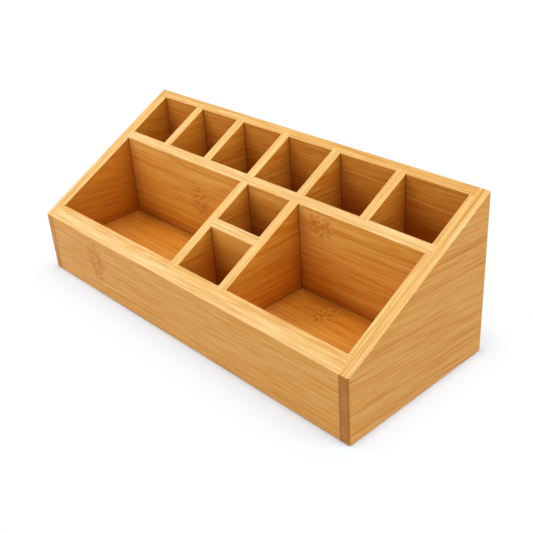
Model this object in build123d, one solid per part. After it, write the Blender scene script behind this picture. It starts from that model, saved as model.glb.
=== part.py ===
from build123d import *
from dataclasses import dataclass
import os

# A desk organizer of glued bamboo boards: an open box whose rim slopes down to the front,
# divided into six rear slots, two large bays and two small wells.
# Millimetres, +Z up, +X to the right, -Y towards the low front.
# The origin is the middle of the footprint, on the table.

# Outer size
WIDTH = 322.0
DEPTH = 128.0
FRONT_HEIGHT = 48.0
BACK_HEIGHT = 116.0

# Board thicknesses
SIDE_T = 11.0
FRONT_T = 12.0
BACK_T = 7.0
LONG_WALL_T = 7.0
DIVIDER_T = 8.0
WELL_DIVIDER_T = 7.0
FLOOR_T = 8.0

# Height of the floor's underside above the table
FLOOR_LIFT = 17.0

# Rear slots: a group behind the left bay, one behind the wells, the rest behind the right bay
SLOT_DEPTH = 35.0
LEFT_SLOTS = 3
RIGHT_SLOTS = 2
LEFT_SLOT_WIDTH = 40.5
WELL_WIDTH = 42.0

# Small wells between the bays, from the long wall forwards
REAR_WELL_DEPTH = 29.0

# How far one board is let into another
CORNER_LAP = 3.5
SIDE_HOUSING = 4.0
BACK_HOUSING = 2.5
FRONT_HOUSING = 2.0
LONG_WALL_HOUSING = 1.5
WELL_HOUSING = 1.5
FLOOR_HOUSING = 3.0

# Play at each cheek of a glued joint
JOINT_GAP = 0.1

# Rounded edges: the upright corners, the box's upper and lower outline, and the inside boards
CORNER_ROUND = 2.0
CASE_ROUND = 1.0
EDGE_ROUND = 0.5

# How far a cut runs on past the box
CUT_PAST = 5.0

# Places worked out from the sizes
LEFT = -WIDTH / 2
RIGHT = WIDTH / 2
FRONT = -DEPTH / 2
BACK = DEPTH / 2
INNER_LEFT = LEFT + SIDE_T
INNER_RIGHT = RIGHT - SIDE_T
INNER_FRONT = FRONT + FRONT_T
INNER_BACK = BACK - BACK_T
FLOOR_TOP = FLOOR_LIFT + FLOOR_T
LONG_WALL_BACK = INNER_BACK - SLOT_DEPTH
LONG_WALL_FRONT = LONG_WALL_BACK - LONG_WALL_T
WELL_DIVIDER_BACK = LONG_WALL_FRONT - REAR_WELL_DEPTH
WELL_DIVIDER_FRONT = WELL_DIVIDER_BACK - WELL_DIVIDER_T
RIM_RISE = (BACK_HEIGHT - FRONT_HEIGHT) / DEPTH
RIM_LINE = Axis((0, 0, 0), (0, 1, RIM_RISE))
OVER_RIM = BACK_HEIGHT + CUT_PAST


@dataclass(frozen=True)
class Plan:
    """The footprint of an upright board, or of the groove that takes it."""

    x0: float
    x1: float
    y0: float
    y1: float

    def grown(self, along_x, along_y):
        """The same footprint with more on both sides along each axis."""
        return Plan(self.x0 - along_x, self.x1 + along_x, self.y0 - along_y, self.y1 + along_y)

    def cut_in_x(self, x0, x1):
        """The same footprint between two places from left to right."""
        return Plan(x0, x1, self.y0, self.y1)

    def cut_in_y(self, y0, y1):
        """The same footprint between two places from front to back."""
        return Plan(self.x0, self.x1, y0, y1)


def rim_height(y):
    """Height of the sloping rim above the table."""
    return FRONT_HEIGHT + (y - FRONT) * RIM_RISE


def upright(plan, bottom):
    """An upright board from the given height up to the sloping rim."""
    outline = Polygon(
        (plan.y0, bottom),
        (plan.y1, bottom),
        (plan.y1, rim_height(plan.y1)),
        (plan.y0, rim_height(plan.y0)),
        align=None,
    )
    return extrude(Plane.YZ.offset(plan.x0) * outline, amount=plan.x1 - plan.x0)


def block(plan, bottom, top):
    """A plain block on a footprint."""
    middle = Location(((plan.x0 + plan.x1) / 2, (plan.y0 + plan.y1) / 2, (bottom + top) / 2))
    return middle * Box(plan.x1 - plan.x0, plan.y1 - plan.y0, top - bottom)


def housing(plan):
    """The groove for an upright board that stands on the floor, open at the rim."""
    return block(plan, FLOOR_TOP, OVER_RIM)


def divider_starts():
    """Left face of each divider between the rear slots, from left to right."""
    starts = []
    x = INNER_LEFT
    for _ in range(LEFT_SLOTS):
        x += LEFT_SLOT_WIDTH
        starts.append(x)
        x += DIVIDER_T
    x += WELL_WIDTH
    starts.append(x)
    x += DIVIDER_T
    right_room = INNER_RIGHT - x - (RIGHT_SLOTS - 1) * DIVIDER_T
    for _ in range(RIGHT_SLOTS - 1):
        x += right_room / RIGHT_SLOTS
        starts.append(x)
        x += DIVIDER_T
    return starts


STARTS = divider_starts()
LEFT_BAY_END = STARTS[LEFT_SLOTS - 1]
RIGHT_BAY_START = STARTS[LEFT_SLOTS]

# Footprints of the boards
LEFT_SIDE = Plan(LEFT, INNER_LEFT, FRONT, BACK)
RIGHT_SIDE = Plan(INNER_RIGHT, RIGHT, FRONT, BACK)
FRONT_PANEL = Plan(INNER_LEFT - CORNER_LAP, INNER_RIGHT + CORNER_LAP, FRONT, INNER_FRONT)
BACK_PANEL = Plan(INNER_LEFT - CORNER_LAP, INNER_RIGHT + CORNER_LAP, INNER_BACK, BACK)
FLOOR = Plan(
    INNER_LEFT - FLOOR_HOUSING,
    INNER_RIGHT + FLOOR_HOUSING,
    INNER_FRONT - FLOOR_HOUSING,
    INNER_BACK + FLOOR_HOUSING,
)
LONG_WALL = Plan(
    INNER_LEFT - SIDE_HOUSING,
    INNER_RIGHT + SIDE_HOUSING,
    LONG_WALL_FRONT,
    LONG_WALL_BACK,
)
SLOT_DIVIDERS = [
    Plan(x, x + DIVIDER_T, LONG_WALL_BACK - LONG_WALL_HOUSING, INNER_BACK + BACK_HOUSING)
    for x in STARTS
]
BAY_DIVIDERS = [
    Plan(x, x + DIVIDER_T, INNER_FRONT - FRONT_HOUSING, LONG_WALL_FRONT + LONG_WALL_HOUSING)
    for x in (LEFT_BAY_END, RIGHT_BAY_START)
]
WELL_DIVIDER = Plan(
    LEFT_BAY_END + DIVIDER_T - WELL_HOUSING,
    RIGHT_BAY_START + WELL_HOUSING,
    WELL_DIVIDER_FRONT,
    WELL_DIVIDER_BACK,
)


def floor_groove(plan):
    """The groove along one outer board that takes the floor's edge."""
    return block(plan, FLOOR_LIFT - JOINT_GAP, FLOOR_TOP + JOINT_GAP)


def side(plan, outer_x):
    """A side panel: rabbets take the front and back panels, grooves the floor and long wall."""
    panel = upright(plan, 0)
    outer_face = panel.faces().filter_by(Axis.X).sort_by(Axis.X, reverse=outer_x > 0)[0]
    panel = fillet(outer_face.edges().filter_by(Axis.Z), CORNER_ROUND)
    faces = panel.faces().sort_by(Axis.Z)
    outline = ShapeList()
    for face in (faces[0], faces[-1]):
        outline += face.edges().sort_by(Axis.X, reverse=outer_x > 0)[:-1]
    panel = fillet(outline, CASE_ROUND)
    inner_rim = panel.edges().filter_by(RIM_LINE).sort_by(Axis.X, reverse=outer_x > 0)[-1]
    panel = fillet(inner_rim, EDGE_ROUND)
    floor_edge = Plan(FLOOR.x0, FLOOR.x1, FRONT, BACK)
    for end in (FRONT_PANEL, BACK_PANEL):
        panel -= block(end.grown(0, JOINT_GAP), -CUT_PAST, OVER_RIM)
    panel -= floor_groove(floor_edge)
    panel -= housing(LONG_WALL.grown(0, JOINT_GAP))
    return panel


def end_panel(plan, outer_y, dividers):
    """The front or back panel, with a groove for the floor and housings for the dividers."""
    panel = upright(plan.cut_in_x(INNER_LEFT, INNER_RIGHT), 0)
    inner_rim = panel.edges().filter_by(Axis.X).sort_by(Axis.Y, reverse=outer_y > 0)[-2:]
    panel = fillet(inner_rim.sort_by(Axis.Z)[-1], EDGE_ROUND)
    panel += upright(plan.cut_in_x(plan.x0, INNER_LEFT), 0)
    panel += upright(plan.cut_in_x(INNER_RIGHT, plan.x1), 0)
    along = panel.edges().filter_by(Axis.X).sort_by(Axis.Y, reverse=outer_y > 0)
    panel = fillet(along[:2], CASE_ROUND)
    floor_edge = Plan(plan.x0, plan.x1, FLOOR.y0, FLOOR.y1)
    panel -= floor_groove(floor_edge)
    for plan_of_divider in dividers:
        panel -= housing(plan_of_divider.grown(JOINT_GAP, 0))
    return panel


def cross_board(plan, x0, x1):
    """A board that runs across, its long edges eased where it shows and square where it is let in."""
    board = upright(plan.cut_in_x(x0, x1), FLOOR_TOP)
    board = fillet(board.edges().filter_by(Axis.X), EDGE_ROUND)
    board += upright(plan.cut_in_x(plan.x0, x0), FLOOR_TOP)
    board += upright(plan.cut_in_x(x1, plan.x1), FLOOR_TOP)
    return board


def divider(plan, y0, y1):
    """A board that runs from front to back, its long edges eased only where it shows."""
    board = upright(plan.cut_in_y(y0, y1), FLOOR_TOP)
    board = fillet(board.edges().filter_by(RIM_LINE) + board.edges().filter_by(Axis.Y), EDGE_ROUND)
    board += upright(plan.cut_in_y(plan.y0, y0), FLOOR_TOP)
    board += upright(plan.cut_in_y(y1, plan.y1), FLOOR_TOP)
    return board


def long_wall():
    """The wall between the rear slots and the bays, notched on both faces for the dividers."""
    wall = cross_board(LONG_WALL, INNER_LEFT, INNER_RIGHT)
    for plan in SLOT_DIVIDERS + BAY_DIVIDERS:
        wall -= housing(plan.grown(JOINT_GAP, 0))
    return wall


def well_divider():
    """The short board between the two small wells."""
    return cross_board(WELL_DIVIDER, LEFT_BAY_END + DIVIDER_T, RIGHT_BAY_START)


def bay_divider(plan):
    """A divider beside the small wells, housed for the board between them."""
    return divider(plan, INNER_FRONT, LONG_WALL_FRONT) - housing(WELL_DIVIDER.grown(0, JOINT_GAP))


def slot_divider(plan):
    """A divider between two rear slots."""
    return divider(plan, LONG_WALL_BACK, INNER_BACK)


def floor_panel():
    """The floor, whose four edges sit in the grooves of the outer boards."""
    return block(FLOOR, FLOOR_LIFT, FLOOR_TOP)


def build_boards():
    """Every board of the organizer under its node name."""
    left_bay_divider, right_bay_divider = BAY_DIVIDERS
    boards = {
        "left_side": side(LEFT_SIDE, LEFT),
        "right_side": side(RIGHT_SIDE, RIGHT),
        "front_panel": end_panel(FRONT_PANEL, FRONT, BAY_DIVIDERS),
        "back_panel": end_panel(BACK_PANEL, BACK, SLOT_DIVIDERS),
        "floor_panel": floor_panel(),
        "long_wall": long_wall(),
        "left_bay_divider": bay_divider(left_bay_divider),
        "right_bay_divider": bay_divider(right_bay_divider),
        "well_divider": well_divider(),
    }
    for number, plan in enumerate(SLOT_DIVIDERS, start=1):
        boards[f"slot_divider_{number}"] = slot_divider(plan)
    return boards


os.makedirs("parts", exist_ok=True)
for name, board in build_boards().items():
    export_step(board, f"parts/{name}.step")
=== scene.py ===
"""A bamboo desk organizer: the finish of its boards, a pale studio floor, soft light and the camera."""

import logging
import math
from dataclasses import dataclass, replace
from enum import Enum
from typing import Optional, Union

import bpy
from mathutils import Matrix, Vector


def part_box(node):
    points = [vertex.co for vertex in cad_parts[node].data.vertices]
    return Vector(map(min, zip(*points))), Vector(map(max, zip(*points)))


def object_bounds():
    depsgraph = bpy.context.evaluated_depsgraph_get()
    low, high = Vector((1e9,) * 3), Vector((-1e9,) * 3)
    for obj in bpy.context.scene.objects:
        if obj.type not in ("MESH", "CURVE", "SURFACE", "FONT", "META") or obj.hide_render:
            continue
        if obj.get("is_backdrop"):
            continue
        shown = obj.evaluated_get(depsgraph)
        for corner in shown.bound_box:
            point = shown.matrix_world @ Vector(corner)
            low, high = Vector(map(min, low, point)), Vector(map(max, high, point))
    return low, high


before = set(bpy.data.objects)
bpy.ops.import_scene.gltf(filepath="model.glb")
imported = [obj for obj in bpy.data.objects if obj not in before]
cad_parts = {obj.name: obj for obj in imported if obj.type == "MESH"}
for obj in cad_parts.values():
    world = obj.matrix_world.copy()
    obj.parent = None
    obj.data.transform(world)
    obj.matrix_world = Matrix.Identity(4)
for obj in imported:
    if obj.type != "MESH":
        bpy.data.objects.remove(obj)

log = logging.getLogger("desk_organizer")

MILLIMETRE = 0.001
HALFWAY = 0.5
RIGHT_ANGLE = 90.0
NOISE_ROUGHNESS = 0.55
SENSOR_WIDTH_MM = 36.0
IMAGE_WIDTH_PX = 533.0

Pair = tuple[float, float]
Triple = tuple[float, float, float]
Socket = bpy.types.NodeSocket
Value = Union[Socket, float, Triple]


class Lay(Enum):
    """How a board lies: the axes along its fibres, through its thickness and across its width."""

    ACROSS_THE_BOX = (0, 1, 2)
    FRONT_TO_BACK = (1, 0, 2)
    FLAT = (0, 2, 1)


@dataclass(frozen=True)
class Block:
    """A box in the part's own frame, in metres."""

    low: Vector
    high: Vector

    @classmethod
    def of(cls, node: str) -> "Block":
        """The box of a board."""
        return cls(*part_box(node))

    def past(self, other: "Block") -> "Block":
        """What is left of this box beyond the other's left or right end.

        Args:
            other: the board that is let into this one.

        Returns:
            The smaller box.
        """
        low, high = self.low.copy(), self.high.copy()
        if high.x > other.high.x:
            low.x = other.high.x
        else:
            high.x = other.low.x
        return Block(low, high)

    @property
    def middle(self) -> Vector:
        """The box's middle."""
        return (self.low + self.high) / 2

    @property
    def half(self) -> Vector:
        """Half its size."""
        return (self.high - self.low) / 2


class ShaderTree:
    """A node tree, with one short call for each kind of node that the finishes use."""

    def __init__(self, tree: bpy.types.NodeTree) -> None:
        """Keeps the tree that the calls add to."""
        self.tree = tree

    def feed(self, socket: Socket, value: Value) -> None:
        """Links an input to an output, or sets its plain value.

        Args:
            socket: the input.
            value: an output socket or a plain value.
        """
        if isinstance(value, Socket):
            self.tree.links.new(value, socket)
        else:
            socket.default_value = value

    def node(self, kind: str, inputs: dict[Union[int, str], Value], **settings: object) -> bpy.types.Node:
        """Adds a node, sets its options and feeds its inputs.

        Args:
            kind: the node's type name.
            inputs: what goes into each input, under its name or number.
            settings: the node's own options.

        Returns:
            The new node.
        """
        made = self.tree.nodes.new(kind)
        for name, value in settings.items():
            setattr(made, name, value)
        for key, value in inputs.items():
            self.feed(made.inputs[key], value)
        return made

    def math(self, operation: str, first: Value, second: Value = 0.0, third: Value = 0.0) -> Socket:
        """A number worked out from up to three others.

        Args:
            operation: the Math node's operation.
            first: the first number.
            second: the second number.
            third: the third number.

        Returns:
            The result.
        """
        inputs = {0: first, 1: second, 2: third}
        return self.node("ShaderNodeMath", inputs, operation=operation).outputs["Value"]

    def vector(self, operation: str, first: Value, second: Value = (0.0, 0.0, 0.0)) -> Socket:
        """A vector worked out from one or two others.

        Args:
            operation: the Vector Math node's operation.
            first: the first vector.
            second: the second vector.

        Returns:
            The result.
        """
        inputs = {0: first, 1: second}
        return self.node("ShaderNodeVectorMath", inputs, operation=operation).outputs["Vector"]

    def length(self, vector: Value) -> Socket:
        """The length of a vector."""
        return self.node("ShaderNodeVectorMath", {0: vector}, operation="LENGTH").outputs["Value"]

    def beyond(self, vector: Value, middle: Value, half: Value) -> Socket:
        """How far a place is outside a box.

        Args:
            vector: the place.
            middle: the box's middle.
            half: half its size.

        Returns:
            The distance.
        """
        from_middle = self.vector("ABSOLUTE", self.vector("SUBTRACT", vector, middle))
        return self.length(self.vector("MAXIMUM", self.vector("SUBTRACT", from_middle, half)))

    def turn(self, vector: Value, angle: Value, centre: Triple = (0.0, 0.0, 0.0)) -> Socket:
        """A place turned about the Y axis.

        Args:
            vector: the place.
            angle: how far it is turned, in radians.
            centre: what it is turned about.

        Returns:
            The turned place.
        """
        inputs = {"Vector": vector, "Center": centre, "Axis": (0.0, 1.0, 0.0), "Angle": angle}
        return self.node("ShaderNodeVectorRotate", inputs, rotation_type="AXIS_ANGLE").outputs["Vector"]

    def split(self, vector: Value) -> list[Socket]:
        """The X, Y and Z of a vector."""
        return list(self.node("ShaderNodeSeparateXYZ", {0: vector}).outputs)

    def join(self, x: Value, y: Value, z: Value) -> Socket:
        """A vector of three numbers."""
        return self.node("ShaderNodeCombineXYZ", {0: x, 1: y, 2: z}).outputs["Vector"]

    def noise(self, vector: Value, rates: Triple, detail: float = 2.0, bend: float = 0.0) -> Socket:
        """Soft noise, mostly from 0.3 to 0.7.

        Args:
            vector: where it is read, in metres.
            rates: how many features it has to the metre, each way.
            detail: how many finer layers lie over it.
            bend: how far it is bent.

        Returns:
            The noise.
        """
        inputs = {
            "Vector": self.vector("MULTIPLY", vector, rates),
            "Scale": 1.0,
            "Detail": detail,
            "Roughness": NOISE_ROUGHNESS,
            "Distortion": bend,
        }
        return self.node("ShaderNodeTexNoise", inputs).outputs[0]

    def rise(self, value: Value, step: Pair) -> Socket:
        """A smooth step from 0 to 1.

        Args:
            value: the number that is read.
            step: where the step starts and where it ends.

        Returns:
            The step.
        """
        inputs = {"Value": value, "From Min": step[0], "From Max": step[1]}
        return self.node("ShaderNodeMapRange", inputs, interpolation_type="SMOOTHSTEP").outputs["Result"]

    def fall(self, value: Value, step: Pair) -> Socket:
        """A smooth step from 1 to 0."""
        return self.math("SUBTRACT", 1.0, self.rise(value, step))

    def blend(self, factor: Value, low: Value, high: Value) -> Socket:
        """A number between two others."""
        inputs = {"Value": factor, "To Min": low, "To Max": high}
        return self.node("ShaderNodeMapRange", inputs).outputs["Result"]

    def mix(self, factor: Value, low: Value, high: Value, way: str = "MIX") -> Socket:
        """A colour between two others.

        Args:
            factor: 0 for the first colour, 1 for the second.
            low: the first colour.
            high: the second colour.
            way: how the second colour goes over the first.

        Returns:
            The mixed colour.
        """
        mixed = self.node("ShaderNodeMix", {"Factor": factor}, data_type="RGBA", blend_type=way)
        ends = [socket for socket in mixed.inputs if socket.type == "RGBA"]
        for socket, value in zip(ends, (low, high)):
            self.feed(socket, (*value, 1.0) if isinstance(value, tuple) else value)
        return next(socket for socket in mixed.outputs if socket.type == "RGBA")

    def place(self, group: bpy.types.NodeTree, **inputs: Value) -> bpy.types.NodeOutputs:
        """Puts a shared effect into the tree.

        Args:
            group: the effect's node group.
            inputs: what goes into each of its inputs.

        Returns:
            Its outputs.
        """
        placed = self.node("ShaderNodeGroup", {}, node_tree=group)
        for name, value in inputs.items():
            self.feed(placed.inputs[name], value)
        return placed.outputs


class EffectGroup:
    """A shader node group that several finishes share."""

    def __init__(self, name: str) -> None:
        """Starts an empty group of the given name."""
        self.group = bpy.data.node_groups.new(name, "ShaderNodeTree")
        self.shader = ShaderTree(self.group)

    def take(self, **usual: Union[float, Triple]) -> dict[str, Socket]:
        """Args:
            usual: each input's name and its usual value.

        Returns:
            Each input, as a socket inside the group.
        """
        for name, value in usual.items():
            kind = "NodeSocketVector" if isinstance(value, tuple) else "NodeSocketFloat"
            self.group.interface.new_socket(name=name, in_out="INPUT", socket_type=kind).default_value = value
        given = self.group.nodes.new("NodeGroupInput")
        return {name: given.outputs[name] for name in usual}

    def give(self, **results: Socket) -> bpy.types.NodeTree:
        """Args:
            results: each output's name and what it puts out.

        Returns:
            The finished group.
        """
        for name in results:
            self.group.interface.new_socket(name=name, in_out="OUTPUT", socket_type="NodeSocketFloat")
        put_out = self.group.nodes.new("NodeGroupOutput")
        for name, socket in results.items():
            self.shader.feed(put_out.inputs[name], socket)
        return self.group


@dataclass(frozen=True)
class Fibres:
    """Broad streaks, fibres, hairs, thin dark lines and short pores, all along the grain.

    The rates are features to the metre: along the grain, through the board and across it. The steps say which
    part of the noise goes from 0 to 1.
    """

    wander_rates: Triple = (9.0, 20.0, 22.0)
    wander: float = 2.5 * MILLIMETRE
    streak_rates: Triple = (7.0, 200.0, 200.0)
    streak_step: Pair = (0.30, 0.70)
    streak_detail: float = 3.0
    fibre_rates: Triple = (14.0, 560.0, 560.0)
    fibre_step: Pair = (0.33, 0.67)
    hair_rates: Triple = (38.0, 1100.0, 1100.0)
    hair_step: Pair = (0.34, 0.66)
    line_rates: Triple = (8.0, 700.0, 700.0)
    line_step: Pair = (0.57, 0.68)
    line_detail: float = 1.5
    pore_rates: Triple = (110.0, 1700.0, 1700.0)
    pore_step: Pair = (0.60, 0.72)

    def build(self) -> bpy.types.NodeTree:
        """Builds the group.

        Returns:
            A group with one mask for each kind of fibre.
        """
        effect = EffectGroup("bamboo_fibres")
        shader = effect.shader
        given = effect.take(Vector=(0.0, 0.0, 0.0))["Vector"]
        drift = shader.math("SUBTRACT", shader.noise(given, self.wander_rates), HALFWAY)
        aside = shader.math("MULTIPLY", drift, self.wander)
        along = shader.vector("ADD", given, shader.join(0.0, 0.0, aside))
        streaks = shader.noise(along, self.streak_rates, detail=self.streak_detail)
        lines = shader.noise(along, self.line_rates, detail=self.line_detail)
        return effect.give(
            Streaks=shader.rise(streaks, self.streak_step),
            Fibres=shader.rise(shader.noise(along, self.fibre_rates), self.fibre_step),
            Hairs=shader.rise(shader.noise(along, self.hair_rates), self.hair_step),
            Lines=shader.rise(lines, self.line_step),
            Pores=shader.rise(shader.noise(along, self.pore_rates), self.pore_step),
        )


@dataclass(frozen=True)
class GluedStrips:
    """The strips that a board is glued up from, each with a tone of its own."""

    width: float = 19.0 * MILLIMETRE
    layer: float = 5.2 * MILLIMETRE
    stagger: float = 0.37

    def build(self) -> bpy.types.NodeTree:
        """Builds the group.

        Returns:
            A group with a tone from 0 to 1 for each strip.
        """
        effect = EffectGroup("bamboo_strips")
        shader = effect.shader
        given = effect.take(Vector=(0.0, 0.0, 0.0), Shift=0.0)
        _, through, across = shader.split(given["Vector"])
        layer = shader.math("FLOOR", shader.math("DIVIDE", through, self.layer))
        lane = shader.math("DIVIDE", shader.math("ADD", across, given["Shift"]), self.width)
        lane = shader.math("MULTIPLY_ADD", layer, self.stagger, lane)
        strip = shader.join(layer, shader.math("FLOOR", lane), given["Shift"])
        tone = shader.node("ShaderNodeTexWhiteNoise", {"Vector": strip}).outputs["Value"]
        return effect.give(Tone=tone)


@dataclass(frozen=True)
class PaintedDepthShade:
    """Painted shade: how far the bamboo is painted darker, from the rim down into the compartments.

    The heights and depths are in metres, and the rise is the rim's height gained to the metre. The two small
    wells get stronger painted shade than the rest from a few millimetres down.
    """

    front: float
    front_height: float
    rise: float
    wells: Block
    deepens: Pair = (6.0 * MILLIMETRE, 70.0 * MILLIMETRE)
    # Where the painted shade in the small wells starts and where it is full.
    well_deepens: Pair = (3.0 * MILLIMETRE, 17.0 * MILLIMETRE)
    margin: float = 1.0 * MILLIMETRE

    def build(self) -> bpy.types.NodeTree:
        """Builds the group.

        Returns:
            A group with a mask of painted shade that is 0 near the rim and 1 deep inside, and one of painted
            shade in the small wells.
        """
        effect = EffectGroup("bamboo_painted_depth_shade")
        shader = effect.shader
        given = effect.take(Vector=(0.0, 0.0, 0.0))["Vector"]
        _, back, up = shader.split(given)
        rim_at_middle = self.front_height - self.front * self.rise
        rim_height = shader.math("MULTIPLY_ADD", back, self.rise, rim_at_middle)
        below_rim = shader.math("SUBTRACT", rim_height, up)
        # Painted shade in the small wells, from a few millimetres below the rim.
        outside = shader.beyond(given, tuple(self.wells.middle), tuple(self.wells.half))
        in_well = shader.fall(outside, (0.0, self.margin))
        well_shade = shader.math("MULTIPLY", in_well, shader.rise(below_rim, self.well_deepens))
        # Painted shade: 0 near the rim and 1 deep below it, and painted shade in the small wells.
        return effect.give(Deep=shader.rise(below_rim, self.deepens), Well=well_shade)


@dataclass(frozen=True)
class KnuckleMottle:
    """The darker patch with short brown and pale flecks where the stalk had a knuckle."""

    ragged_rates: Triple = (130.0, 260.0, 260.0)
    ragged: float = 1.1
    fleck_rates: Triple = (330.0, 900.0, 900.0)
    fleck_detail: float = 1.0
    fleck_bend: float = 0.1
    patch_edge: Pair = (0.3, 1.3)
    core_edge: Pair = (0.6, 1.15)
    brown_step: Pair = (0.50, 0.59)
    pale_step: Pair = (0.38, 0.46)

    def build(self) -> bpy.types.NodeTree:
        """Builds the group.

        Returns:
            A group with a mask of the patch, one of its brown flecks and one of its pale ones.
        """
        effect = EffectGroup("bamboo_knuckle")
        shader = effect.shader
        given = effect.take(Vector=(0.0, 0.0, 0.0), Middle=(0.0, 0.0, 0.0), Reach=(0.01, 0.01, 0.01))
        from_middle = shader.vector("SUBTRACT", given["Vector"], given["Middle"])
        distance = shader.length(shader.vector("DIVIDE", from_middle, given["Reach"]))
        torn = shader.math("SUBTRACT", shader.noise(given["Vector"], self.ragged_rates), HALFWAY)
        distance = shader.math("MULTIPLY_ADD", torn, self.ragged, distance)
        core = shader.fall(distance, self.core_edge)
        spots = shader.noise(given["Vector"], self.fleck_rates, self.fleck_detail, self.fleck_bend)
        brown = shader.math("MULTIPLY", core, shader.rise(spots, self.brown_step))
        pale = shader.math("MULTIPLY", core, shader.fall(spots, self.pale_step))
        return effect.give(Patch=shader.fall(distance, self.patch_edge), Brown=brown, Pale=pale)


@dataclass(frozen=True)
class CutEnds:
    """The dark dots of the fibre bundles where a board is cut across its grain."""

    dot_rate: float = 1300.0
    dot_edge: Pair = (0.1, 0.5)
    cloud_rate: float = 120.0
    cloud_step: Pair = (0.3, 0.7)
    clear_tone: Pair = (0.6, 1.0)
    dot_dark: float = 0.5

    def build(self) -> bpy.types.NodeTree:
        """Builds the group.

        Returns:
            A group with the tone of the cut: soft clouds, with the darker dots in them.
        """
        effect = EffectGroup("bamboo_cut_ends")
        shader = effect.shader
        where = effect.take(Vector=(0.0, 0.0, 0.0))["Vector"]
        inputs = {"Vector": where, "Scale": self.dot_rate}
        from_dot = shader.node("ShaderNodeTexVoronoi", inputs).outputs["Distance"]
        clouds = shader.rise(shader.noise(where, (self.cloud_rate,) * 3), self.cloud_step)
        dots = shader.fall(from_dot, self.dot_edge)
        clear = shader.blend(clouds, *self.clear_tone)
        return effect.give(Tone=shader.math("MULTIPLY_ADD", dots, -self.dot_dark, clear))


@dataclass(frozen=True)
class GlueLineAndCornerShade:
    """The thin dark line on a board along the edge of another that meets it, and painted shade in the corner
    there.

    The corner shade is looked for a little in front of the face, so that a board on the far side leaves no
    mark.
    """

    line: Pair = (0.1 * MILLIMETRE, 0.9 * MILLIMETRE)
    lift: float = 10.0 * MILLIMETRE
    # How far the painted shade in the corner reaches.
    corner: Pair = (0.0, 13.0 * MILLIMETRE)

    def build(self) -> bpy.types.NodeTree:
        """Builds the group.

        Returns:
            A group with a mask of the line around one neighbour's box and one of the corner beside it.
        """
        effect = EffectGroup("bamboo_glue_line_and_corner_shade")
        shader = effect.shader
        box = {"Middle": (0.0, 0.0, 0.0), "Half": (0.01, 0.01, 0.01)}
        given = effect.take(Vector=(0.0, 0.0, 0.0), Normal=(0.0, 0.0, 1.0), **box)
        from_box = shader.beyond(given["Vector"], given["Middle"], given["Half"])
        lifted = shader.vector("MULTIPLY", given["Normal"], (self.lift,) * 3)
        in_front = shader.vector("ADD", given["Vector"], lifted)
        ahead = shader.beyond(in_front, given["Middle"], given["Half"])
        return effect.give(Line=shader.fall(from_box, self.line), Corner=shader.fall(ahead, self.corner))


@dataclass(frozen=True)
class ClearLacquer:
    """How the clear lacquer varies: its gloss, and the soft waves in its surface."""

    wave_rate: float = 240.0
    roughness: Pair = (0.42, 0.58)

    def build(self) -> bpy.types.NodeTree:
        """Builds the group.

        Returns:
            A group with the roughness and the height of the waves.
        """
        effect = EffectGroup("clear_lacquer")
        shader = effect.shader
        where = effect.take(Vector=(0.0, 0.0, 0.0))["Vector"]
        waves = shader.noise(where, (self.wave_rate,) * 3)
        return effect.give(Roughness=shader.blend(waves, *self.roughness), Waves=waves)


class BambooEffects:
    """The effects that every bamboo finish is mixed from, each built once."""

    def __init__(self, painted_depth_shade: PaintedDepthShade) -> None:
        """Builds each group.

        Args:
            painted_depth_shade: the painted shade that darkens the bamboo inside this box.
        """
        self.painted_depth_shade = painted_depth_shade.build()
        self.fibres = Fibres().build()
        self.strips = GluedStrips().build()
        self.knuckle = KnuckleMottle().build()
        self.cut_ends = CutEnds().build()
        self.glue_line_and_corner_shade = GlueLineAndCornerShade().build()
        self.lacquer = ClearLacquer().build()


@dataclass(frozen=True)
class Tone:
    """The colour of one kind of cut, from its deepest fibre to its palest."""

    deep: Triple
    pale: Triple


@dataclass(frozen=True)
class Ply:
    """One layer in a board's rim: its tone, which is the ply's own colour and partly painted highlight, and how
    deep it starts.

    The start is a share of the thickness, counted from the board's inner face.
    """

    tone: Tone
    start: float = 0.0


@dataclass(frozen=True)
class Knuckle:
    """A knuckle that shows on a board.

    Its middle and how far it reaches are in millimetres, and its lean is in degrees. It is flecked from 0
    to 1.
    """

    middle: Triple
    reach: Triple
    lean: float = 0.0
    flecked: float = 1.0


@dataclass(frozen=True)
class Spot:
    """What a finish reads at each point of a board: where it is, and which way it faces.

    The painted depth shade is 1 deep inside the box, the painted well shade is 1 in the small wells, the end is
    1 where the board is cut across its grain, and the rim is 1 on the board's rim. The depth goes from 0 on an
    outer board's inner face to 1 on its outer face.
    """

    where: Socket
    along: Socket
    normal: Socket
    painted_depth_shade: Socket
    well_shade: Socket
    end: Socket
    rim: Value
    depth: Value


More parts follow.
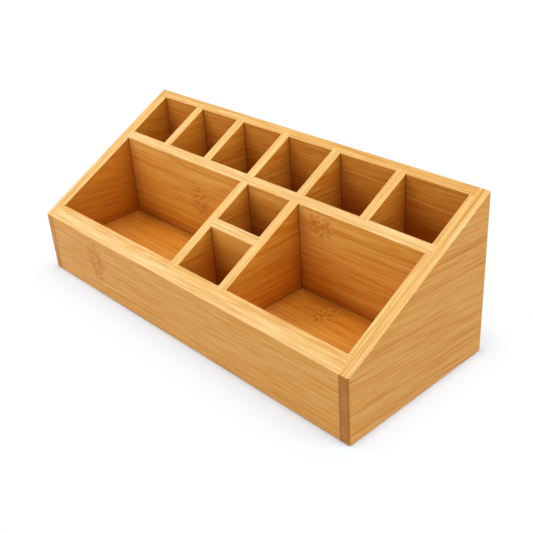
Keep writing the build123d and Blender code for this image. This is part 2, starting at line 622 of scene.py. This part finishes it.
@dataclass(frozen=True)
class BambooFinish:
    """Lacquered bamboo on one kind of board.

    The inside tones are for the faces in the compartments: one near the rim, and a darker one deep down at the
    foot, which is painted shade. Only an outer board has an outside tone.
    """

    name: str
    lay: Lay
    inside: Tone
    inside_shaded_foot: Tone
    outside: Optional[Tone] = None
    plies: tuple[Ply, ...] = ()
    tilt: float = 0.0
    shift: float = 0.0
    knuckles: tuple[Knuckle, ...] = ()
    cut_end: Tone = Tone(deep=(0.33, 0.105, 0.012), pale=(0.46, 0.180, 0.034))
    line_brown: Triple = (0.50, 0.155, 0.008)
    fleck_brown: Triple = (0.42, 0.116, 0.001)
    fleck_pale: Triple = (0.82, 0.440, 0.110)
    # The colour of the painted shade in corners.
    corner_shade_brown: Triple = (0.250, 0.055, 0.001)
    glue_brown: Triple = (0.160, 0.042, 0.004)
    # How much the painted shade darkens the small wells.
    well_shade_tint: Triple = (0.94, 0.86, 0.76)
    rim_facing: Pair = (0.45, 0.70)
    end_facing: Pair = (0.60, 0.85)
    outer_skin: Pair = (0.02, 0.08)
    outer_edge: Pair = (0.84, 0.94)
    ply_blur: float = 0.045
    streak_share: float = 0.08
    strip_share: float = 0.08
    fibre_share: float = 0.38
    hair_share: float = 0.46
    line_dark: float = 0.34
    rim_line_share: float = 0.50
    patch_dark: float = 0.32
    fleck_dark: float = 0.80
    fleck_light: float = 0.50
    # How dark the painted corner shade is deep inside, and near the rim.
    corner_shade_dark: float = 0.45
    corner_shade_dark_at_rim: float = 0.15
    joint_dark: float = 0.52
    edge_dark: float = 0.28
    end_roughness: float = 0.15
    gloss: float = 0.20
    pore_depth: float = 0.60
    fleck_depth: float = 0.50
    wave_height: float = 0.60
    bump_strength: float = 0.12
    bump_distance: float = 0.15 * MILLIMETRE

    def read(
        self, shader: ShaderTree, effects: BambooEffects, slope: float, skin: Optional[Block]
    ) -> Spot:
        """Reads where each point is.

        On the rim of a board that runs from front to back, the grain follows the rim.

        Args:
            shader: the material's tree.
            effects: the shared node groups.
            slope: the angle of the rim above level.
            skin: the box of one outer board, where the two faces of the board differ.

        Returns:
            What the finish reads.
        """
        coordinates = shader.node("ShaderNodeTexCoord", {}).outputs
        where, normal = coordinates["Object"], coordinates["Normal"]
        axes, facing = shader.split(where), shader.split(normal)
        along_axis, through_axis, _ = self.lay.value
        upright = shader.join(*(axes[axis] for axis in self.lay.value))
        rim, tilt, depth = 0.0, self.tilt, 0.0
        if self.plies:
            rim = shader.rise(facing[2], self.rim_facing)
            if self.lay is Lay.FRONT_TO_BACK:
                tilt = shader.blend(shader.math("GREATER_THAN", rim, HALFWAY), self.tilt, slope)
        if skin is not None:
            near, far = sorted((abs(skin.low[through_axis]), abs(skin.high[through_axis])))
            from_middle = shader.math("ABSOLUTE", axes[through_axis])
            depth = shader.math("DIVIDE", shader.math("SUBTRACT", from_middle, near), far - near)
        # The painted depth shade, and the painted shade in the small wells.
        painted_depth_shade = shader.place(effects.painted_depth_shade, Vector=where)
        return Spot(
            where=where,
            along=shader.turn(upright, tilt),
            normal=normal,
            painted_depth_shade=painted_depth_shade["Deep"],
            well_shade=painted_depth_shade["Well"],
            end=shader.rise(shader.math("ABSOLUTE", facing[along_axis]), self.end_facing),
            rim=rim,
            depth=depth,
        )

    def fibre_tone(self, shader: ShaderTree, fibres: bpy.types.NodeOutputs, strip: Socket) -> Socket:
        """How pale each fibre is.

        Args:
            shader: the material's tree.
            fibres: the masks of the fibres.
            strip: the tone of the strip that the fibre is in.

        Returns:
            The tone, from 0 to 1.
        """
        shares = (
            (fibres["Streaks"], self.streak_share),
            (strip, self.strip_share),
            (fibres["Fibres"], self.fibre_share),
            (fibres["Hairs"], self.hair_share),
        )
        tone = 0.0
        for mask, share in shares:
            tone = shader.math("MULTIPLY_ADD", mask, share, tone)
        return tone

    def wood_colour(self, shader: ShaderTree, spot: Spot, tone: Socket) -> Socket:
        """The colour of the faces and of the layers in the rim.

        Args:
            shader: the material's tree.
            spot: what the finish reads.
            tone: how pale the fibres are, from 0 to 1.

        Returns:
            The colour.
        """
        upper = shader.mix(tone, self.inside.deep, self.inside.pale)
        # The foot tone is painted shade, mixed in further below the rim.
        lower = shader.mix(tone, self.inside_shaded_foot.deep, self.inside_shaded_foot.pale)
        colour = shader.mix(spot.painted_depth_shade, upper, lower)
        # Painted shade in the small wells.
        colour = shader.mix(spot.well_shade, colour, self.well_shade_tint, "MULTIPLY")
        if self.outside is not None:
            outside = shader.mix(tone, self.outside.deep, self.outside.pale)
            colour = shader.mix(shader.rise(spot.depth, self.outer_skin), colour, outside)
        layers = None
        for ply in self.plies:
            layer = shader.mix(tone, ply.tone.deep, ply.tone.pale)
            if layers is None:
                layers = layer
                continue
            reached = shader.rise(spot.depth, (ply.start - self.ply_blur, ply.start + self.ply_blur))
            layers = shader.mix(reached, layers, layer)
        # On the rim the plies' tones, partly painted highlight, go over the face colour.
        return colour if layers is None else shader.mix(spot.rim, colour, layers)

    def lined(self, shader: ShaderTree, spot: Spot, lines: Socket, colour: Socket) -> Socket:
        """The colour with the thin dark lines of the grain, fainter on the rim.

        Args:
            shader: the material's tree.
            spot: what the finish reads.
            lines: the mask of the lines.
            colour: the colour so far.

        Returns:
            The colour.
        """
        dark = shader.math("MULTIPLY", lines, self.line_dark)
        share = shader.blend(spot.rim, 1.0, self.rim_line_share)
        return shader.mix(shader.math("MULTIPLY", dark, share), colour, self.line_brown)

    def flecked(
        self, shader: ShaderTree, group: bpy.types.NodeTree, spot: Spot, colour: Socket, height: Socket
    ) -> tuple[Socket, Socket]:
        """The colour and the relief with the knuckles.

        Args:
            shader: the material's tree.
            group: the shared node group of one knuckle.
            spot: what the finish reads.
            colour: the colour so far.
            height: the relief so far.

        Returns:
            The colour and the relief.
        """
        for knuckle in self.knuckles:
            middle = tuple(value * MILLIMETRE for value in knuckle.middle)
            reach = tuple(value * MILLIMETRE for value in knuckle.reach)
            leaning = shader.turn(spot.where, math.radians(knuckle.lean), middle)
            marks = shader.place(group, Vector=leaning, Middle=middle, Reach=reach)
            patch = shader.math("MULTIPLY", marks["Patch"], self.patch_dark)
            colour = shader.mix(patch, colour, self.line_brown)
            brown = shader.math("MULTIPLY", marks["Brown"], self.fleck_dark * knuckle.flecked)
            colour = shader.mix(brown, colour, self.fleck_brown)
            pale = shader.math("MULTIPLY", marks["Pale"], self.fleck_light * knuckle.flecked)
            colour = shader.mix(pale, colour, self.fleck_pale)
            height = shader.math("MULTIPLY_ADD", marks["Brown"], -self.fleck_depth, height)
        return colour, height

    def cut(self, shader: ShaderTree, group: bpy.types.NodeTree, spot: Spot, colour: Socket) -> Socket:
        """The colour with the board's cut ends, which are darker along their outer edge.

        Args:
            shader: the material's tree.
            group: the shared node group of the cut ends.
            spot: what the finish reads.
            colour: the colour so far.

        Returns:
            The colour.
        """
        tone = shader.place(group, Vector=spot.where)["Tone"]
        cut_end = shader.mix(tone, self.cut_end.deep, self.cut_end.pale)
        edge = shader.math("MULTIPLY", shader.rise(spot.depth, self.outer_edge), self.edge_dark)
        return shader.mix(spot.end, colour, shader.mix(edge, cut_end, self.glue_brown))

    def glued_and_corner_shaded(
        self,
        shader: ShaderTree,
        group: bpy.types.NodeTree,
        spot: Spot,
        neighbours: list[Block],
        colour: Socket,
    ) -> Socket:
        """The colour with the dark lines and the painted corner shade along the boards that meet this one.

        They are left off the rim.

        Args:
            shader: the material's tree.
            group: the shared node group of one such joint.
            spot: what the finish reads.
            neighbours: the boards that meet this one.
            colour: the colour so far.

        Returns:
            The colour.
        """
        line, corner = 0.0, 0.0
        for block in neighbours:
            middle, half = tuple(block.middle), tuple(block.half)
            joint = shader.place(group, Vector=spot.where, Normal=spot.normal, Middle=middle, Half=half)
            line = shader.math("MAXIMUM", joint["Line"], line)
            corner = shader.math("MAXIMUM", joint["Corner"], corner)
        below_rim = shader.math("SUBTRACT", 1.0, spot.rim)
        # Painted shade in the corners, deeper further down and left off the rim.
        darkness = shader.blend(spot.painted_depth_shade, self.corner_shade_dark_at_rim, self.corner_shade_dark)
        corner_shade_mask = shader.math("MULTIPLY", shader.math("MULTIPLY", corner, below_rim), darkness)
        glue = shader.math("MULTIPLY", shader.math("MULTIPLY", line, below_rim), self.joint_dark)
        return shader.mix(glue, shader.mix(corner_shade_mask, colour, self.corner_shade_brown), self.glue_brown)

    def build(
        self, effects: BambooEffects, slope: float, skin: Optional[Block], neighbours: list[Block]
    ) -> bpy.types.Material:
        """Makes the material.

        Args:
            effects: the shared node groups.
            slope: the angle of the rim above level.
            skin: the box of one board, for an outer board.
            neighbours: the boards that meet this one.

        Returns:
            The material.
        """
        material = bpy.data.materials.new(self.name)
        material.use_nodes = True
        material.node_tree.nodes.clear()
        shader = ShaderTree(material.node_tree)
        spot = self.read(shader, effects, slope, skin)
        fibres = shader.place(effects.fibres, Vector=spot.along)
        strips = shader.place(effects.strips, Vector=spot.along, Shift=self.shift * MILLIMETRE)
        tone = self.fibre_tone(shader, fibres, strips["Tone"])
        height = shader.math("MULTIPLY_ADD", fibres["Pores"], -self.pore_depth, fibres["Fibres"])

        colour = self.lined(shader, spot, fibres["Lines"], self.wood_colour(shader, spot, tone))
        colour, height = self.flecked(shader, effects.knuckle, spot, colour, height)
        colour = self.cut(shader, effects.cut_ends, spot, colour)
        colour = self.glued_and_corner_shaded(shader, effects.glue_line_and_corner_shade, spot, neighbours, colour)

        lacquer = shader.place(effects.lacquer, Vector=spot.where)
        height = shader.math("MULTIPLY_ADD", lacquer["Waves"], self.wave_height, height)
        relief = {"Strength": self.bump_strength, "Distance": self.bump_distance, "Height": height}
        surface = {
            "Base Color": colour,
            "Roughness": shader.math("MULTIPLY_ADD", spot.end, self.end_roughness, lacquer["Roughness"]),
            "Specular IOR Level": self.gloss,
            "Normal": shader.node("ShaderNodeBump", relief).outputs["Normal"],
        }
        board = shader.node("ShaderNodeBsdfPrincipled", surface)
        shader.node("ShaderNodeOutputMaterial", {"Surface": board.outputs["BSDF"]})
        return material


def dress(nodes: tuple[str, ...], material: bpy.types.Material) -> None:
    """Gives boards their finish.

    Args:
        nodes: the boards' names.
        material: their finish.
    """
    for name in nodes:
        for material_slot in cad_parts[name].material_slots:
            material_slot.material = material
        log.info("%s: %s", name, material.name)


OUTSIDE = Tone(deep=(0.56, 0.215, 0.016), pale=(0.72, 0.375, 0.102))
WALL_FACE = Tone(deep=(0.62, 0.210, 0.010), pale=(0.79, 0.420, 0.094))
# Painted shade: each foot tone is a darker copy for faces deep down in the compartments.
WALL_SHADED_FOOT = Tone(deep=(0.56, 0.150, 0.001), pale=(0.75, 0.340, 0.036))
FLOOR_FACE = Tone(deep=(0.60, 0.210, 0.012), pale=(0.81, 0.470, 0.125))
FLOOR_SHADED_FOOT = Tone(deep=(0.55, 0.145, 0.001), pale=(0.73, 0.320, 0.034))
# Painted shade: the cross tones are darker copies of the wall tones, for faces that face sideways.
CROSS_SHADED_FACE = Tone(deep=(0.58, 0.155, 0.002), pale=(0.77, 0.370, 0.050))
CROSS_SHADED_FOOT = Tone(deep=(0.53, 0.115, 0.001), pale=(0.71, 0.260, 0.014))
# Painted shade: the left tones are darker copies for the left side's inner face.
LEFT_SHADED_FACE = Tone(deep=(0.51, 0.130, 0.002), pale=(0.67, 0.308, 0.037))
LEFT_SHADED_FOOT = Tone(deep=(0.43, 0.090, 0.001), pale=(0.57, 0.205, 0.008))
# Painted shade: the slot tones are darker copies for the back's faces in the narrow slots.
SLOT_SHADED_FACE = Tone(deep=(0.46, 0.105, 0.001), pale=(0.62, 0.270, 0.036))
SLOT_SHADED_FOOT = Tone(deep=(0.43, 0.070, 0.001), pale=(0.56, 0.165, 0.005))
# The rim tones are the plies' own colours, made paler partly as painted highlight on the upward rim.
FAIR_RIM = Tone(deep=(0.68, 0.350, 0.080), pale=(0.90, 0.620, 0.285))
PALE_RIM = Tone(deep=(0.65, 0.315, 0.055), pale=(0.90, 0.600, 0.240))
WARM_RIM = Tone(deep=(0.61, 0.265, 0.040), pale=(0.85, 0.545, 0.190))


@dataclass(frozen=True)
class OuterBox:
    """The two sides, the front, the back and the floor. Heights and depth are in millimetres."""

    front_height: float = 48.0
    back_height: float = 116.0
    depth: float = 128.0
    sides: tuple[str, ...] = ("left_side", "right_side")

    @property
    def slope(self) -> float:
        """The angle of the sloping rim above level."""
        return math.atan2(self.back_height - self.front_height, self.depth)

    def painted_depth_shade(self, wells: Block) -> PaintedDepthShade:
        """The painted shade that darkens the bamboo below the sloping rim.

        Args:
            wells: the space of the small wells.

        Returns:
            The painted depth shade.
        """
        front = -self.depth / 2 * MILLIMETRE
        rise = (self.back_height - self.front_height) / self.depth
        return PaintedDepthShade(front, self.front_height * MILLIMETRE, rise, wells)

    def side_finish(self) -> BambooFinish:
        """The sides' finish: grain from front to back, falling a little towards the back.

        Returns:
            The finish.
        """
        return BambooFinish(
            name="bamboo_side",
            lay=Lay.FRONT_TO_BACK,
            inside=CROSS_SHADED_FACE,
            inside_shaded_foot=CROSS_SHADED_FOOT,
            outside=OUTSIDE,
            plies=(Ply(PALE_RIM), Ply(WARM_RIM, 0.42), Ply(FAIR_RIM, 0.72)),
            tilt=math.radians(-4.5),
            shift=3.0,
            line_dark=0.72,
        )

    def left_finish(self) -> BambooFinish:
        """The left side's finish, with painted shade deepening its colour inside, and paler at its cut ends.

        Returns:
            The finish.
        """
        cut_end = Tone(deep=(0.42, 0.160, 0.028), pale=(0.58, 0.270, 0.070))
        own = {"name": "bamboo_left_side", "inside": LEFT_SHADED_FACE, "inside_shaded_foot": LEFT_SHADED_FOOT, "cut_end": cut_end}
        return replace(self.side_finish(), **own)

    def front_finish(self) -> BambooFinish:
        """The front's finish: one knuckle near its left end, and a warmer inner layer in the rim.

        Returns:
            The finish.
        """
        knuckle = Knuckle(middle=(-94.7, -64.0, 28.0), reach=(10.5, 6.0, 16.5), lean=2.0, flecked=0.55)
        return BambooFinish(
            name="bamboo_front",
            lay=Lay.ACROSS_THE_BOX,
            inside=WALL_FACE,
            inside_shaded_foot=WALL_SHADED_FOOT,
            outside=OUTSIDE,
            plies=(Ply(WARM_RIM), Ply(FAIR_RIM, 0.42)),
            tilt=math.radians(1.0),
            shift=8.0,
            knuckles=(knuckle,),
            patch_dark=0.40,
        )

    def back_finish(self) -> BambooFinish:
        """The back's finish, deeper in colour where it closes the slots.

        Returns:
            The finish.
        """
        return BambooFinish(
            name="bamboo_back",
            lay=Lay.ACROSS_THE_BOX,
            inside=SLOT_SHADED_FACE,
            inside_shaded_foot=SLOT_SHADED_FOOT,
            outside=OUTSIDE,
            plies=(Ply(WARM_RIM),),
            shift=14.0,
        )

    def floor_finish(self) -> BambooFinish:
        """The floor's finish, with one knuckle in the right bay.

        Returns:
            The finish.
        """
        knuckle = Knuckle(middle=(82.5, 1.0, 25.0), reach=(8.5, 15.0, 6.0), flecked=0.9)
        return BambooFinish(
            name="bamboo_floor",
            lay=Lay.FLAT,
            inside=FLOOR_FACE,
            inside_shaded_foot=FLOOR_SHADED_FOOT,
            shift=5.0,
            knuckles=(knuckle,),
            patch_dark=0.20,
            # The floor gets darker painted shade in its corners.
            corner_shade_dark=0.50,
        )

    def dress(self, effects: BambooEffects, dividers: tuple[str, ...], walls: tuple[str, ...]) -> None:
        """Finishes the five boards.

        Args:
            effects: the shared node groups.
            dividers: the boards inside that run from front to back.
            walls: the boards inside that run across.
        """
        front, back = Block.of("front_panel"), Block.of("back_panel")
        sides = [Block.of(name) for name in self.sides]
        inside = [Block.of(name) for name in (*dividers, *walls)]
        floor = Block.of("floor_panel")
        side_joints = [front, back, floor, Block.of("long_wall")]
        for name, side, finish in zip(self.sides, sides, (self.left_finish(), self.side_finish())):
            dress((name,), finish.build(effects, self.slope, side, side_joints))
        front_joints = [floor, *inside, *(side.past(front) for side in sides)]
        dress(("front_panel",), self.front_finish().build(effects, self.slope, front, front_joints))
        back_joints = [floor, *inside, *(side.past(back) for side in sides)]
        dress(("back_panel",), self.back_finish().build(effects, self.slope, back, back_joints))
        floor_joints = [front, back, *sides, *inside]
        dress(("floor_panel",), self.floor_finish().build(effects, self.slope, None, floor_joints))


@dataclass(frozen=True)
class Partitions:
    """The boards inside the box: the long wall, the well divider and the dividers."""

    walls: tuple[str, ...] = ("long_wall", "well_divider")
    bay_dividers: tuple[str, ...] = ("left_bay_divider", "right_bay_divider")
    slot_count: int = 6

    @property
    def dividers(self) -> tuple[str, ...]:
        """Every divider that runs from front to back."""
        slot_dividers = tuple(f"slot_divider_{number}" for number in range(1, self.slot_count))
        return self.bay_dividers + slot_dividers

    @property
    def wells(self) -> Block:
        """The space between the two bay dividers, which the well divider splits.

        Returns:
            Its box.
        """
        left, right = (Block.of(name) for name in self.bay_dividers)
        front, back = Block.of("front_panel").high.y, Block.of("long_wall").low.y
        return Block(Vector((left.high.x, front, left.low.z)), Vector((right.low.x, back, left.high.z)))

    def wall_finish(self) -> BambooFinish:
        """The finish of the boards that run across, with a knuckle in each bay.

        Returns:
            The finish.
        """
        knuckles = (
            Knuckle(middle=(-62.0, 15.0, 59.5), reach=(11.0, 6.0, 12.5), flecked=0.65),
            Knuckle(middle=(65.0, 15.0, 79.0), reach=(12.0, 6.0, 9.5), flecked=0.75),
        )
        return BambooFinish(
            name="bamboo_wall",
            lay=Lay.ACROSS_THE_BOX,
            inside=WALL_FACE,
            inside_shaded_foot=WALL_SHADED_FOOT,
            plies=(Ply(FAIR_RIM),),
            shift=1.0,
            knuckles=knuckles,
            # Stronger painted shade in the small wells.
            well_shade_tint=(0.79, 0.65, 0.44),
        )

    def divider_finish(self) -> BambooFinish:
        """The finish of the boards that run from front to back.

        Returns:
            The finish.
        """
        return BambooFinish(
            name="bamboo_divider",
            lay=Lay.FRONT_TO_BACK,
            inside=CROSS_SHADED_FACE,
            inside_shaded_foot=CROSS_SHADED_FOOT,
            plies=(Ply(PALE_RIM),),
            shift=11.0,
        )

    def dress(self, effects: BambooEffects, slope: float) -> None:
        """Finishes the boards inside the box.

        Args:
            effects: the shared node groups.
            slope: the angle of the rim above level.
        """
        floor = Block.of("floor_panel")
        wall_joints = [floor, Block.of("left_side"), Block.of("right_side"), *map(Block.of, self.dividers)]
        dress(self.walls, self.wall_finish().build(effects, slope, None, wall_joints))
        ends = [Block.of(name) for name in ("front_panel", "back_panel", *self.walls)]
        dress(self.dividers, self.divider_finish().build(effects, slope, None, [floor, *ends]))


@dataclass(frozen=True)
class StudioFloor:
    """A plain white floor that shows a soft shadow near the object and is all white further out.

    The glow is how much of the white the floor shows by itself beside the object. Beyond the spread it shows
    all of it. The spread is counted from a little inside the object's left and right ends. Close to the boards'
    feet the glow fades out, so that the contact shadow shows.
    """

    footprint: Block
    size: float = 8.0
    drop: float = 0.2 * MILLIMETRE
    paint: Triple = (0.76, 0.84, 0.92)
    glow: float = 0.45
    spread: float = 0.037
    end_inset: float = 14.0 * MILLIMETRE
    contact: Pair = (-1.5 * MILLIMETRE, 6.0 * MILLIMETRE)

    def material(self) -> bpy.types.Material:
        """The floor's paint, which shows white but keeps the shadow.

        Returns:
            The material.
        """
        material = bpy.data.materials.new("studio_floor")
        material.use_nodes = True
        material.node_tree.nodes.clear()
        shader = ShaderTree(material.node_tree)
        paint = shader.node("ShaderNodeBsdfDiffuse", {"Color": (*self.paint, 1.0)})
        glow = shader.node("ShaderNodeEmission", {"Strength": 1.0})
        where = shader.node("ShaderNodeTexCoord", {}).outputs["Object"]
        middle, half = self.footprint.middle, self.footprint.half
        from_foot = shader.beyond(where, tuple(middle), tuple(half))
        inset = half - Vector((self.end_inset, 0.0, 0.0))
        distance = shader.beyond(where, tuple(middle), tuple(inset))
        further_out = shader.blend(shader.rise(distance, (0.0, self.spread)), self.glow, 1.0)
        glow_share = shader.math("MULTIPLY", shader.rise(from_foot, self.contact), further_out)
        share = shader.math("MULTIPLY", seen_directly(shader), glow_share)
        mixed = shader.node("ShaderNodeMixShader", {0: share, 1: paint.outputs[0], 2: glow.outputs[0]})
        shader.node("ShaderNodeOutputMaterial", {"Surface": mixed.outputs[0]})
        return material

    def build(self) -> bpy.types.Object:
        """Lays the floor just under the boards.

        Returns:
            The floor.
        """
        bpy.ops.object.select_all(action="DESELECT")
        bpy.ops.mesh.primitive_plane_add(size=self.size, location=(0.0, 0.0, 0.0))
        floor = bpy.context.object
        floor.name = "studio_floor"
        for vertex in floor.data.vertices:
            vertex.co.z = -self.drop
        floor.data.materials.append(self.material())
        floor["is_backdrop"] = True
        log.info("studio_floor: %.1f m square", self.size)
        return floor


def seen_directly(shader: ShaderTree) -> Socket:
    """1 for what the camera sees, also through a reflection, and 0 for what lights the object.

    Args:
        shader: the tree that asks.

    Returns:
        The mask.
    """
    rays = shader.node("ShaderNodeLightPath", {}).outputs
    mirrored = shader.math("MAXIMUM", rays["Is Glossy Ray"], rays["Is Transmission Ray"])
    return shader.math("MAXIMUM", rays["Is Camera Ray"], mirrored)


@dataclass(frozen=True)
class StudioSky:
    """The even white surroundings: a white background, and the soft light that they give."""

    light: float = 0.30

    def build(self) -> None:
        """Makes the world."""
        world = bpy.data.worlds.new("studio_sky")
        bpy.context.scene.world = world
        world.use_nodes = True
        world.node_tree.nodes.clear()
        shader = ShaderTree(world.node_tree)
        light = shader.node("ShaderNodeBackground", {"Strength": self.light})
        white = shader.node("ShaderNodeBackground", {"Strength": 1.0})
        for background in (light, white):
            background.inputs["Color"].default_value = (1.0, 1.0, 1.0, 1.0)
        both = {0: seen_directly(shader), 1: light.outputs[0], 2: white.outputs[0]}
        mixed = shader.node("ShaderNodeMixShader", both)
        shader.node("ShaderNodeOutputWorld", {"Surface": mixed.outputs[0]})
        log.info("studio_sky: light %.2f", self.light)


def looking(azimuth: float, elevation: float) -> Matrix:
    """How a lamp or a camera is turned that looks at the object from one side.

    Args:
        azimuth: the side that it is on, in degrees from the front.
        elevation: how far it is above level, in degrees.

    Returns:
        The turn.
    """
    turn = Matrix.Rotation(math.radians(azimuth), 4, "Z")
    return turn @ Matrix.Rotation(math.radians(RIGHT_ANGLE - elevation), 4, "X")


@dataclass(frozen=True)
class SoftLight:
    """A large square lamp that looks at the middle of the object.

    Angles are in degrees, lengths in metres.
    """

    name: str
    azimuth: float
    elevation: float
    power: float
    distance: float = 1.4
    size: float = 0.9
    aim: Triple = (0.0, 0.0, 0.05)

    def build(self) -> bpy.types.Object:
        """Hangs the lamp.

        Returns:
            The lamp.
        """
        facing = looking(self.azimuth, self.elevation)
        place = Vector(self.aim) + facing @ Vector((0.0, 0.0, self.distance))
        bpy.ops.object.light_add(type="AREA", location=place, rotation=facing.to_euler())
        lamp = bpy.context.object
        lamp.name = self.name
        lamp.data.shape = "SQUARE"
        lamp.data.size = self.size
        lamp.data.energy = self.power
        log.info("%s: %.1f W", self.name, self.power)
        return lamp


@dataclass(frozen=True)
class PhotoCamera:
    """The camera at the photograph's viewpoint. Angles are in degrees, lengths in metres."""

    place: Triple = (0.4148, -0.3378, 0.3353)
    azimuth: float = 49.00
    elevation: float = 29.73
    roll: float = -4.300
    focal_px: float = 851.0
    clip: Pair = (0.01, 20.0)

    def build(self) -> bpy.types.Object:
        """Sets up the camera and makes it the scene's own.

        Returns:
            The camera.
        """
        data = bpy.data.cameras.new("photo_camera")
        data.sensor_width = SENSOR_WIDTH_MM
        data.lens = self.focal_px / IMAGE_WIDTH_PX * SENSOR_WIDTH_MM
        data.clip_start, data.clip_end = self.clip
        camera = bpy.data.objects.new("photo_camera", data)
        roll = Matrix.Rotation(math.radians(self.roll), 4, "Z")
        camera.matrix_world = Matrix.Translation(self.place) @ looking(self.azimuth, self.elevation) @ roll
        bpy.context.scene.collection.objects.link(camera)
        bpy.context.scene.camera = camera
        log.info("photo_camera: %.1f mm", data.lens)
        return camera


def main() -> None:
    """Builds the scene: the camera, the boards' finishes, the floor, the sky and the lamps."""
    logging.basicConfig(level=logging.INFO, format="%(name)s: %(message)s")
    cad_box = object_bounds()
    bpy.context.scene.view_settings.view_transform = "Standard"
    PhotoCamera().build()
    outer_box = OuterBox()
    partitions = Partitions()
    effects = BambooEffects(outer_box.painted_depth_shade(partitions.wells))
    outer_box.dress(effects, partitions.dividers, partitions.walls)
    partitions.dress(effects, outer_box.slope)
    StudioFloor(Block(*cad_box)).build()
    StudioSky().build()
    SoftLight("key_left", azimuth=-60.0, elevation=40.0, power=10.7).build()
    SoftLight("fill_front_low", azimuth=0.0, elevation=12.0, power=5.0).build()
    SoftLight("fill_right_back", azimuth=120.0, elevation=25.0, power=6.7).build()
    SoftLight("fill_right_high", azimuth=90.0, elevation=65.0, power=8.7).build()


if __name__ == "__main__":
    main()
